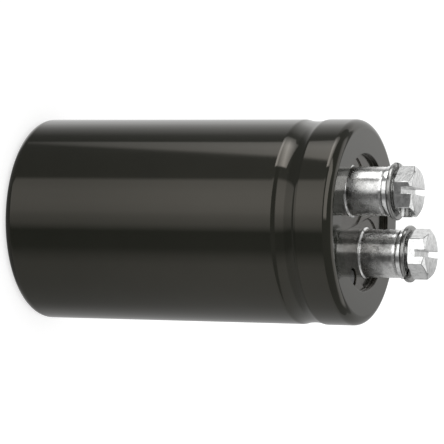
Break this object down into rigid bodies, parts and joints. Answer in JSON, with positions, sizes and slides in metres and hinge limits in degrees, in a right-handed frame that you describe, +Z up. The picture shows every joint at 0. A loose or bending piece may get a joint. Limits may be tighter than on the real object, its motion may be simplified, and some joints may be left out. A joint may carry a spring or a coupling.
{
  "type": "electrolytic capacitor",
  "caption": "Screw-terminal electrolytic capacitor: sleeved can with a rolled bead, recessed cover, metal posts with slotted hexagon screws and washers.",
  "frame": {"origin": "centre of the base, on the surface that the part stands on", "axes": "+Z up along the axis of the can; the terminals lie on the X axis, terminal_1 at +X"},
  "size_m": [0.036, 0.036, 0.0727],
  "materials": {
    "can": "drawn, bare",
    "sleeve": "glossy shrunk film",
    "base_disc": "smooth board",
    "cover": "glossy moulding",
    "rubber": "matt black rubber",
    "terminal": "turned",
    "plated_steel": "bright zinc plate",
    "tab": "rolled strip",
    "winding": "foil and soaked paper",
    "tape": "adhesive tape",
    "board": "pressed paper board"
  },
  "bodies": {
    "root": {"can": "can", "sleeve": "sleeve", "base_disc": "base_disc", "cover": "cover", "gasket": "rubber", "vent_plug": "rubber", "terminal_1": "terminal", "terminal_2": "terminal", "flat_washer_1": "plated_steel", "flat_washer_2": "plated_steel", "spring_washer_1": "plated_steel", "spring_washer_2": "plated_steel", "screw_1": "plated_steel", "screw_2": "plated_steel", "tab_1": "tab", "tab_2": "tab", "rivet_washer_1": "tab", "rivet_washer_2": "tab", "winding": "winding", "winding_tape": "tape", "upper_disc": "board", "lower_disc": "board"}
  },
  "joints": []
}
